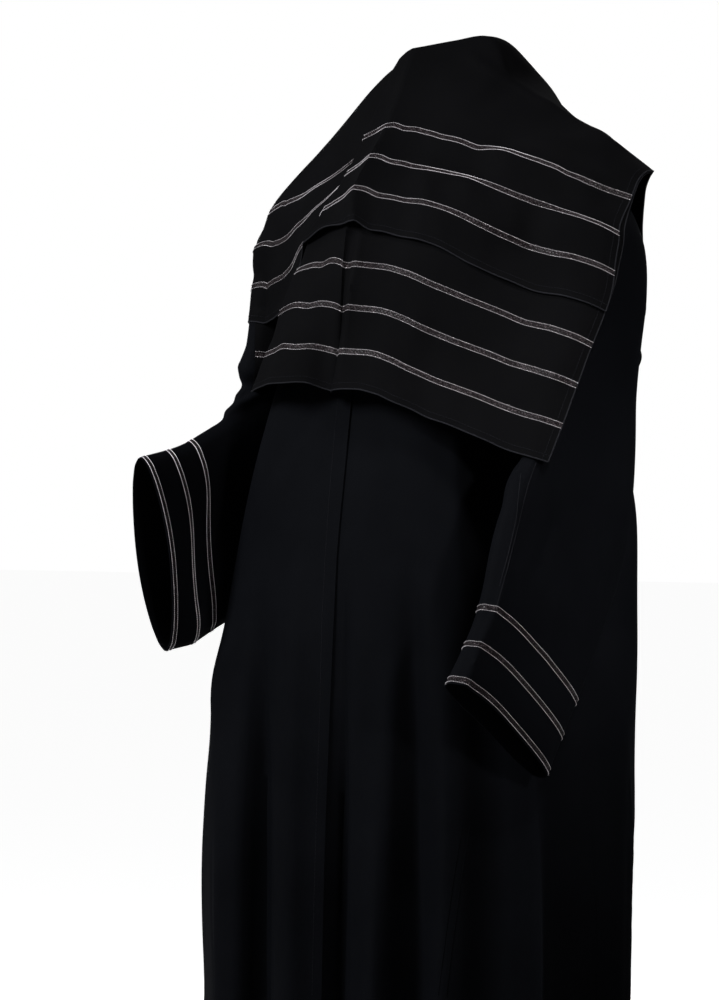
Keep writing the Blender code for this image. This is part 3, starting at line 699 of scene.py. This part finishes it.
def inset(sheet, edge, distance, lift):  # the line that runs beside an edge, just over the cloth
    grid, normals = sheet.grid, sheet.normals()
    if edge == "near":
        grid, normals = grid.transpose(1, 0, 2), normals.transpose(1, 0, 2)
    if edge == "last":
        grid, normals = grid[::-1], normals[::-1]
    gone = np.linalg.norm(np.diff(grid, axis=0), axis=-1).cumsum(axis=0)
    row = np.argmax(gone > distance, axis=0)
    columns = np.arange(grid.shape[1])
    before = np.where(row > 0, gone[row - 1, columns], 0)
    t = ((distance - before) / (gone[row, columns] - before))[:, None]
    line = grid[row, columns] * (1 - t) + grid[row + 1, columns] * t
    return line + normals[row, columns] * lift


def objectFrom(name, points, faces, uvs, materials, slots=None, uvName="cloth"):
    mesh = bpy.data.meshes.new(name)
    mesh.from_pydata([tuple(p) for p in points], [], faces)
    layer = mesh.uv_layers.new(name=uvName)
    loops = np.array([loop.vertex_index for loop in mesh.loops])
    layer.data.foreach_set("uv", np.asarray(uvs, float)[loops].ravel())
    for material in materials:
        mesh.materials.append(material)
    if slots is not None:
        mesh.polygons.foreach_set("material_index", slots)
    mesh.shade_smooth()
    mesh.set_sharp_from_angle(angle=making["sharpOver"])
    mesh.update()
    obj = bpy.data.objects.new(name, mesh)
    scene.collection.objects.link(obj)
    return obj


def shell(name, sheet, thickness, material, nodes):  # the sheet as a thin closed wall
    grid, normals = sheet.grid, sheet.normals()
    rows, columns = grid.shape[:2]
    across = columns - 1 if sheet.closed else columns
    index = np.arange(rows * across).reshape(rows, across)
    if sheet.closed:
        index = np.concatenate([index, index[:, :1]], axis=1)
    outer = grid[:, :across].reshape(-1, 3)
    inner = (grid - normals * thickness)[:, :across].reshape(-1, 3)
    uvs = sheet.lengths()[:, :across].reshape(-1, 2)
    count = rows * across
    faces = []
    for r in range(rows - 1):
        for c in range(index.shape[1] - 1):
            four = [index[r, c], index[r + 1, c], index[r + 1, c + 1], index[r, c + 1]]
            if sheet.facing < 0:
                four.reverse()
            faces.append(four)
    faces += [[v + count for v in reversed(face)] for face in faces]
    loops = [index[0], index[-1][::-1]]
    if not sheet.closed:
        loops += [index[::-1, 0], index[:, -1]]
    for loop in loops:
        for a, b in zip(loop[:-1], loop[1:]):
            four = [b, a, a + count, b + count]
            if sheet.facing > 0:
                four.reverse()
            faces.append([int(v) for v in four])
    faces = [[int(v) for v in face] for face in faces]
    points, uvs = np.concatenate([outer, inner]), np.concatenate([uvs, uvs])
    obj = objectFrom(name, points, faces, uvs, [material])
    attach(obj, "root")
    if nodes:
        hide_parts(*nodes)
    return obj


trim = {
    "cuffFirst": 0.0055, "cuffApart": 0.042,  # metres from the cuff's edge, and between bands
    "upperFirst": 0.045, "lowerFirst": 0.043, "scarfApart": 0.0485,
    "profile": (  # millimetres across and up, and 0 for cord or 1 for lattice on the face that follows
        (-3.62, 0.06, 1), (-3.22, 0.36, 0), (-3.18, 0.66, 0), (-3.00, 0.84, 0), (-2.82, 0.66, 0),
        (-2.78, 0.38, 1), (-1.30, 0.36, 1), (0.0, 0.40, 1), (1.30, 0.36, 1), (2.78, 0.38, 0),
        (2.82, 0.66, 0), (3.00, 0.84, 0), (3.18, 0.66, 0), (3.22, 0.36, 1), (3.62, 0.06, 1),
    ),
}


def trimOn(name, sheet, edge, middle, nodes):  # a band that follows the cloth beside its edge
    profile = trim["profile"]
    tube = np.array([inset(sheet, edge, middle + side / 1000, up / 1000) for side, up, _ in profile])
    centre = tube[len(profile) // 2]
    along = np.concatenate([[0], np.cumsum(np.linalg.norm(np.diff(centre, axis=0), axis=-1))])
    ring = sheet.closed
    columns = tube.shape[1] - ring
    points = tube[:, :columns].reshape(-1, 3)
    count = len(profile)
    faces, slots = [], []
    flip = (sheet.facing > 0) == (edge == "hem")
    for k in range(count):
        for c in range(tube.shape[1] - 1):
            n, d = (k + 1) % count, (c + 1) % columns if ring else c + 1
            four = [k * columns + c, n * columns + c, n * columns + d, k * columns + d]
            faces.append(four if flip else four[::-1])
            slots.append(profile[k][2])
    if not ring:
        first = [k * columns for k in range(count)]
        last = [corner + columns - 1 for corner in first]
        faces += [first[::-1], last] if flip else [first, last[::-1]]
        slots += [1, 1]
    uvs = [(along[c], profile[k][0] / 1000) for k in range(count) for c in range(columns)]
    obj = objectFrom(name, points, faces, uvs, [cordThread, latticeThread], slots, "trim")
    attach(obj, "root")
    if nodes:
        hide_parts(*nodes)
    return obj


def rolledEdge(name, line, radius, material):  # a narrow rolled hem
    ahead = unit(np.gradient(line, axis=0))
    side = unit(np.cross(ahead, np.roll(ahead, 1, axis=1) + 0.01))
    for i in range(1, len(side)):  # carried along without twisting
        step = side[i - 1] - ahead[i] * (side[i - 1] @ ahead[i])
        side[i] = step / max(np.linalg.norm(step), 1e-9)
    up = np.cross(ahead, side)
    count, sides = len(line), making["rollSides"]
    turns = [2 * math.pi * k / sides for k in range(sides)]
    points = np.concatenate([line + radius * (side * math.cos(t) + up * math.sin(t)) for t in turns])
    along = np.concatenate([[0], np.cumsum(np.linalg.norm(np.diff(line, axis=0), axis=-1))])
    girth = making["rollGirth"]
    uvs = [(along[i], k / sides * girth) for k in range(sides) for i in range(count)]
    obj = objectFrom(name, points, tubeFaces(0, count, sides), uvs, [material])
    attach(obj, "root")


# the robe: panels and sleeves, read from the frame and given their folds


def fold(width, *path, **more):  # pixels wide, then x, y and millimetres out at each point of its path
    return {"width": width, "path": path, **more}


robe = {
    "step": (0.010, 0.006),
    "thickness": 0.0012,
    "seam": 0.00026,
    "waves": ((1.8, (0.09, 0.09, 0.30), 3.1), (0.8, (0.035, 0.035, 0.12), 8.4)),
    "folds": (
        fold(8, (224, 590, 0), (219, 700, 4), (216, 850, 5), (215, 1010, 5)),
        fold(11, (258, 590, 0), (256, 680, -14), (255, 760, -24), (255, 870, -25), (256, 1010, -25)),
        fold(13, (300, 520, 0), (296, 600, 4), (294, 700, 7), (294, 850, 9), (293, 1010, 10)),
        fold(8, (342, 560, 0), (339, 700, -10), (337, 800, -19), (336, 900, -22), (335, 1010, -22)),
        fold(4, (354, 500, 0), (348, 560, -3), (341, 620, -3), (337, 690, -2), sharp=True),
        fold(11, (373, 600, 0), (374, 700, -4), (376, 850, -2), (376, 1010, 0)),
        fold(12, (413, 540, 0), (411, 640, -12), (410, 750, -19), (410, 850, -20), (410, 1010, -20)),
        fold(9, (433, 690, 0), (434, 800, -3), (434, 900, -4), (434, 1010, -4)),
        fold(14, (460, 690, 0), (465, 820, 4), (468, 1010, 5)),
        fold(34, (528, 690, 0), (530, 780, -12), (530, 850, -16), (528, 1010, -17)),
        fold(40, (586, 680, 0), (590, 780, -12), (592, 850, -16), (592, 1010, -17)),
        fold(10, (458, 395, 2), (456, 470, 4), (460, 560, 3), (462, 620, 0)),
    ),
    "nudges": {
        "back": ((634, 492, 18, 62, 7, 0), (632, 830, 20, 60, 3, 0)),
        "front_left": ((634, 492, 18, 62, 7, 0), (632, 830, 20, 60, 3, 0)),
        "front_right": ((214, 678, 18, 40, -6, 0), (203, 990, 22, 60, 4, 0)),
    },
}
sleeve = {
    "step": (0.0045, 0.004),
    "edgeOut": 0.0015,
    "waves": ((1.2, (0.05, 0.05, 0.09), 5.7),),
}
nearSleeve = {
    "folds": (
        fold(
            4, (534, 462, 3), (524, 490, 5), (510, 548, 5), (497, 608, 5), (482, 645, 5), (471, 684, 5),
            sharp=True,
        ),
        fold(9, (514, 470, 4), (503, 520, 8), (493, 560, 8), (480, 604, 7), (465, 650, 1), round=0.5),
        fold(7, (556, 505, 0), (553, 528, -3), (541, 565, -3), (528, 592, 0)),
        fold(8, (570, 545, 0), (560, 590, 2), (552, 640, 1), (540, 680, 0)),
        fold(9, (600, 480, 0), (598, 560, 2.5), (590, 620, 1.5), (580, 660, 0)),
    ),
    "nudges": ((450, 672, 26, 75, -11, 0), (514, 482, 14, 30, -7, 0)),
}
farSleeve = {
    "folds": (
        fold(5, (236, 386, -6), (250, 383, -4), (264, 382, -2), round=0.4),
        fold(5, (226, 413, 4), (243, 401, 5), (260, 392, 4), round=0.4),
        fold(4, (228, 405, -4), (244, 395, -5), (260, 387, -3), round=0.4),
        fold(8, (242, 345, 0), (240, 366, 5), (252, 372, 4), round=0.4),
        fold(6, (228, 397, 4), (240, 404, 2), round=0.4),
        fold(9, (215, 470, 0), (208, 520, -3), (209, 580, -4), (214, 640, -2)),
        fold(6, (200, 600, 0), (196, 625, 2), (190, 648, 1)),
    ),
    "nudges": ((230, 565, 34, 80, -20, 0),),
}

panels = {}
for name in ("front_right", "front_left", "back"):
    grid = rowsFirst(clothGrid(name, robeCore), downwards)
    panels[name] = Sheet(lettingOut(grid, robe["seam"]), robeCore, robe["step"])
    undulate(panels[name], robe["waves"])
    pleat(panels[name], robe["folds"])
    nudge(panels[name], robe["nudges"][name])

sleeves = {}
for side in ("left", "right"):
    grid = clothGrid(f"sleeve_{side}", ownCore, closed=True)
    if abs(grid[0, :, 2].mean()) > abs(grid[-1, :, 2].mean()):
        grid = grid[::-1]
    edge = grid[-1] + unit(grid[-1] - grid[-2]) * sleeve["edgeOut"]
    sleeves[side] = Sheet(np.concatenate([grid, edge[None]]), ownCore, sleeve["step"], closed=True)
pleat(sleeves["left"], nearSleeve["folds"])
nudge(sleeves["left"], nearSleeve["nudges"])
nudge(sleeves["right"], farSleeve["nudges"])
pleat(sleeves["right"], farSleeve["folds"])
for sheet in sleeves.values():
    undulate(sheet, sleeve["waves"])
print("robe folded")

for name, sheet in panels.items():
    shell(f"robe_{name}", sheet, robe["thickness"], robeCrepe, [name])
cuffTrims = {}
for side, sheet in sleeves.items():
    shell(
        f"robe_sleeve_{side}", sheet, robe["thickness"], robeCrepe, [f"sleeve_{side}"]
    )
    cuffTrims[side] = []
    for i in range(3):
        up = trim["cuffFirst"] + trim["cuffApart"] * i
        band = trimOn(f"trim_cuff_{side}_{i + 1}", sheet, "last", up, [f"cuff_trim_{side}_{i + 1}"])
        cuffTrims[side].append(band)
print("robe made")

# the shayla: its upper end goes on over the crest into the drop behind

scarf = {
    "step": (0.0045, 0.0035),
    "thickness": 0.0010,
    "crestRow": 9,
    "creases": (12, 16, 18),
    "waves": ((1.3, (0.07, 0.07, 0.11), 1.7), (0.6, (0.030, 0.030, 0.06), 6.2)),
    "gapOnRobe": 0.0004,
    "gapOnLower": 0.0005,
    "hemRoll": 0.0009,
}
upperEnd = {
    "folds": (
        fold(5, (459, 44, 0), (478, 62, 2.5), (518, 86, 2.5), (562, 112, 1.5), round=0.3),
        fold(10, (478, 42, 0), (502, 60, -2), (534, 76, -2), (562, 96, 0), round=0.3),
        fold(
            9, (411, 56, 0.5), (398, 87, 1.6), (385, 117, 1.8), (375, 143, 1.8), (361, 170, 1.8),
            (353, 197, 1.8), (347, 222, 1), sharp=True,
        ),
        fold(9, (430, 150, 0), (424, 200, 1.5), (418, 240, 2)),
        fold(12, (470, 150, 0), (462, 210, -2), (458, 262, -2.5)),
        fold(14, (520, 150, 0), (516, 220, 1.5), (512, 280, 2)),
        fold(7, (330, 150, 0), (300, 195, -2.5), (283, 240, -3), (272, 300, -2)),
    ),
    "nudges": (
        (248, 300, 28, 34, 11, -5), (252, 288, 24, 46, 6, 0), (280, 316, 11, 12, 0, 5),
        (256, 262, 24, 22, 0, -5), (260, 243, 13, 11, -6, 0), (249, 313, 20, 22, 6, 0),
        (442, 41, 26, 12, 0, -3), (580, 117, 24, 16, -1, -6), (600, 184, 34, 15, 0, 8),
        (500, 146, 22, 12, 0, -4), (625, 246, 16, 42, -7, 0), (648, 338, 16, 18, -9, 0),
    ),
    "lifts": ((300, 1), (322, 7), (347, 12), (372, 6), (410, 2), (560, 1.2)),
    "liftReach": 0.045,
    "hemNudges": ((338, 216, 13, 14, 10, -9), (368, 224, 13, 12, 0, -5)),
}
lowerEnd = {
    "folds": (
        fold(5, (352, 236, -4), (343, 287, -7), (337, 340, -8), (331, 395, -8)),
        fold(12, (344, 236, -3), (333, 287, -5), (327, 340, -6), (321, 395, -6)),
        fold(4, (359, 236, 3), (350, 287, 4), (343, 340, 4), (337, 396, 3), sharp=True),
        fold(15, (316, 256, 2), (303, 300, 5), (295, 350, 6), (292, 395, 6)),
        fold(16, (395, 250, 1), (388, 320, 2.5), (380, 400, 3)),
        fold(18, (440, 260, 0), (432, 340, -2.5), (426, 420, -3)),
        fold(20, (500, 300, 0), (492, 370, 1.5), (486, 450, 2)),
    ),
    "lifts": (
        (252, 3), (270, 10), (290, 17), (312, 14), (328, 4), (345, 10), (400, 15), (450, 13), (500, 4),
        (550, 2),
    ),
    "liftReach": 0.08,
    "nudges": (
        (276, 377, 22, 13, 0, -8), (316, 258, 25, 16, 0, -11), (332, 300, 13, 14, 0, -3),
        (272, 345, 10, 25, 3, 0),
    ),
}
returnFlap = {
    "levels": (391, 380, 368, 356, 344, 332, 320, 310),  # y of each row
    "farSide": 255.0,
    "narrowest": 4,
    "shares": (0.15, 0.45, 0.75, 1.0),
    "leftOfFold": 0.0005,
    "behindFold": 0.0016,
    "offRobe": 0.0022,
}


def fromHem(grid):  # rows up from the hem, columns from the near selvage
    if grid.shape[0] > grid.shape[1] and grid.shape[1] < 12:
        grid = grid.transpose(1, 0, 2)
    if grid[0, :, 2].mean() > grid[-1, :, 2].mean():
        grid = grid[::-1]
    if grid[0, 0, 0] < grid[0, -1, 0]:
        grid = grid[:, ::-1]
    return grid


lower = fromHem(clothGrid("shayla_lower_end", scarfCore))
upper = fromHem(clothGrid("shayla_upper_end", scarfCore))
drop = fromHem(clothGrid("shayla_back", scarfCore))[::-1]
crest = (upper[-1] + drop[0]) / 2
whole = np.concatenate([upper[:-1], crest[None], drop[1:]])
upperSheet = Sheet(whole, scarfCore, scarf["step"], ((scarf["crestRow"],), scarf["creases"]))
lowerSheet = Sheet(lower, scarfCore, scarf["step"], ((), scarf["creases"][:2]))

bodyTree = quadTree([*panels.values(), *sleeves.values()])
undulate(lowerSheet, scarf["waves"])
pleat(lowerSheet, lowerEnd["folds"])
liftEdge(lowerSheet, lowerEnd["lifts"], lowerEnd["liftReach"])
nudge(lowerSheet, lowerEnd["nudges"])
settle(lowerSheet, bodyTree, scarf["thickness"] + scarf["gapOnRobe"])


def returnGrid():  # behind the lower end's fold the cloth goes on to the far side, over the sleeve
    edge = lowerSheet.grid[:, -1]
    seen = onPhoto(edge)
    order = np.argsort(seen[:, 1])
    rows = []
    for y in returnFlap["levels"]:
        corner = np.array([np.interp(y, seen[order, 1], edge[order, k]) for k in range(3)])
        foldX = np.interp(y, seen[order, 1], seen[order, 0])
        left = min(returnFlap["farSide"], foldX - returnFlap["narrowest"])
        row = [corner - viewRight * returnFlap["leftOfFold"] + viewAhead * returnFlap["behindFold"]]
        for share in returnFlap["shares"]:
            x = foldX + (left - foldX) * share
            hit = castOn(bodyTree, ((x, y), (x + 0.1, y)))
            row.append(hit[0][0] - viewAhead * returnFlap["offRobe"])
        rows.append(row)
    return np.array(rows)


returnSheet = Sheet(returnGrid(), scarfCore, scarf["step"], ((), (1,)))
settle(returnSheet, bodyTree, scarf["thickness"] + scarf["gapOnRobe"])
undulate(upperSheet, scarf["waves"])
pleat(upperSheet, upperEnd["folds"])
nudge(upperSheet, upperEnd["nudges"])
liftEdge(upperSheet, upperEnd["lifts"], upperEnd["liftReach"])
nudge(upperSheet, upperEnd["hemNudges"])
beneath = quadTree([*panels.values(), *sleeves.values(), lowerSheet, returnSheet])
settle(upperSheet, beneath, scarf["thickness"] + scarf["gapOnLower"])
print("shayla settled")


def scarfPiece(name, sheet, nodes):
    return shell(name, sheet, scarf["thickness"], scarfCrepe, nodes)


upperPiece = scarfPiece("shayla_upper_fall", upperSheet, ["shayla_upper_end", "shayla_back"])
lowerPiece = scarfPiece("shayla_lower_fall", lowerSheet, ["shayla_lower_end"])
returnPiece = scarfPiece("shayla_lower_return", returnSheet, [])
scarfTrims = {
    "upper": [],
    "lower": [],
    "return": [trimOn("trim_shayla_return", returnSheet, "hem", trim["lowerFirst"], [])],
}
for end, sheet in (("upper", upperSheet), ("lower", lowerSheet)):
    for i in range(3):
        up = trim[f"{end}First"] + trim["scarfApart"] * i
        solid = f"shayla_trim_{end}_{3 - i}"
        scarfTrims[end].append(trimOn(f"trim_shayla_{end}_{3 - i}", sheet, "hem", up, [solid]))
# the rolled hems take the paler crepe: a painted highlight along each rolled edge
for end, sheet in (("upper", upperSheet), ("lower", lowerSheet)):
    middle = sheet.grid - sheet.normals() * scarf["thickness"] / 2
    for place, line in (("hem", middle[0]), ("near", middle[:, 0]), ("far", middle[:, -1])):
        rolledEdge(f"shayla_{end}_{place}_roll", line, scarf["hemRoll"], hemHighlightCrepe)
print("shayla made")

# stitching, along lines of x and y

stitching = {
    "lift": 0.0001,
    "hemIn": 0.007, "hemThread": 0.00028, "hemDash": (0.0026, 0.0012),
    "placketThread": 0.0003, "placketDash": (0.0028, 0.0014),
    "seamThread": 0.0004,
    "creaseThread": 0.00035,
    "placket": (
        (338, 398), (334, 440), (329, 500), (325, 560), (322, 620), (320, 700), (317, 797), (314, 900),
        (312, 998),
    ),
    "seams": (
        ((470, 824), (461, 880), (453, 940), (446, 998)),
        ((462, 826), (453, 882), (445, 942), (438, 998)),
    ),
    "creases": (
        ((536, 463), (528, 485), (517, 530), (507, 570), (496, 609)),
        ((521, 473), (516, 520), (508, 555), (499, 588)),
    ),
}


def onRobe(tree, path):
    line = []
    for point, normal in castOn(tree, path):
        line.append(point + normal * math.copysign(stitching["lift"], -(normal @ viewAhead)))
    return line


def stitched(name, lines, threadOf, material, dash=None):
    threads(name, lines, stitching[threadOf], material, stitching[dash] if dash else None)


hemLines = [
    inset(sheet, edge, stitching["hemIn"], stitching["lift"])
    for sheet in (upperSheet, lowerSheet) for edge in ("hem", "near")
]
frontTree = quadTree([panels["front_right"], panels["front_left"]])
sleeveTree = quadTree([sleeves["left"]])
placketLines = [onRobe(frontTree, stitching["placket"])]
seamLines = [onRobe(frontTree, path) for path in stitching["seams"]]
creaseLines = [onRobe(sleeveTree, path) for path in stitching["creases"]]
stitched("shayla_hem_stitches", hemLines, "hemThread", stitchThread, "hemDash")
stitched("placket_stitches", placketLines, "placketThread", stitchThread, "placketDash")
stitched("front_seam", seamLines, "seamThread", robeCrepe)
stitched("sleeve_crease", creaseLines, "creaseThread", stitchThread)
print("stitching made")

# floor, backdrop and light

studio = {
    "floorSize": 60, "floorBelow": 0.0005, "floorColour": (0.5, 0.5, 0.5, 1), "floorDull": 0.985,
    "speckle": 40.0, "floorRoughness": 0.7, "floorGlow": 0.93,
    "surround": 0.065, "page": 1.0, "aim": (0, -0.05, -0.6),
}
lamps = (  # degrees round from the front and up, metres away, watts
    {
        "name": "key", "turn": -23, "rise": 38, "away": 2.9, "size": (0.9, 0.9), "power": 86,
        "colour": (0.95, 0.975, 1.0),
    },
    {
        "name": "fill", "turn": 60, "rise": 48, "away": 2.7, "size": (0.5, 0.5), "power": 0.9,
        "target": (0.15, -0.05, -0.25), "spread": 22,
    },
    {
        "name": "sleeve", "turn": 64, "rise": 14, "away": 2.2, "size": (0.2, 0.2), "power": 0.34,
        "target": (0.24, -0.08, -0.50), "spread": 18,
    },
    {"name": "side", "turn": -70, "rise": 30, "away": 3.2, "size": (1.0, 1.4), "power": 12},
    {"name": "back", "turn": 218, "rise": 9, "away": 3.0, "size": (1.6, 1.2), "power": 95},
    {"name": "rim", "turn": 180, "rise": 40, "away": 3.0, "size": (1.6, 1.0), "power": 6},
)


def floorMaterial():
    material = bpy.data.materials.new("pale_floor")
    material.use_nodes = True
    tree = material.node_tree
    shader = tree.nodes["Principled BSDF"]
    speckle = node(tree, "ShaderNodeTexNoise", {"Scale": studio["speckle"], "Detail": 4.0})
    place = node(tree, "ShaderNodeTexCoord")
    tree.links.new(place.outputs["Object"], speckle.inputs["Vector"])
    colour = studio["floorColour"]
    dull = tuple(c * studio["floorDull"] for c in colour[:3]) + (1,)
    tree.links.new(mixColour(tree, speckle.outputs[0], dull, colour), shader.inputs["Base Color"])
    shader.inputs["Roughness"].default_value = studio["floorRoughness"]
    shader.inputs["Emission Color"].default_value = (1, 1, 1, 1)
    ray = node(tree, "ShaderNodeLightPath")
    glow = math2(tree, "MULTIPLY", ray.outputs["Is Camera Ray"], studio["floorGlow"])
    tree.links.new(glow, shader.inputs["Emission Strength"])
    return material


bpy.ops.object.select_all(action="DESELECT")
floorLevel = cadBox[0][2] - studio["floorBelow"]
bpy.ops.mesh.primitive_plane_add(size=studio["floorSize"], location=(0, 0, floorLevel))
floor = bpy.context.object
floor.name = "floor"
floor.data.materials.append(floorMaterial())

world = bpy.data.worlds.new("studio")
world.use_nodes = True
tree = world.node_tree
surround = tree.nodes["Background"]
surround.inputs["Color"].default_value = (1, 1, 1, 1)
surround.inputs["Strength"].default_value = studio["surround"]
page = node(tree, "ShaderNodeBackground", {"Color": (1, 1, 1, 1), "Strength": studio["page"]})
ray = node(tree, "ShaderNodeLightPath")
either = node(tree, "ShaderNodeMixShader")
tree.links.new(ray.outputs["Is Camera Ray"], either.inputs[0])
tree.links.new(surround.outputs[0], either.inputs[1])
tree.links.new(page.outputs[0], either.inputs[2])
tree.links.new(either.outputs[0], tree.nodes["World Output"].inputs["Surface"])
scene.world = world


def softLight(lamp):
    data = bpy.data.lights.new(lamp["name"], "AREA")
    data.shape = "RECTANGLE"
    data.size, data.size_y = lamp["size"]
    data.energy = lamp["power"]
    data.color = lamp.get("colour", (1, 1, 1))
    data.spread = math.radians(lamp.get("spread", 180))
    obj = bpy.data.objects.new(lamp["name"], data)
    turn, rise = math.radians(lamp["turn"]), math.radians(lamp["rise"])
    way = Vector((math.sin(turn) * math.cos(rise), -math.cos(turn) * math.cos(rise), math.sin(rise)))
    obj.location = Vector(lamp.get("target", studio["aim"])) + way * lamp["away"]
    obj.rotation_euler = (-way).to_track_quat("-Z", "Y").to_euler()
    obj.visible_camera = False
    scene.collection.objects.link(obj)


for lamp in lamps:
    softLight(lamp)
print("stage set")
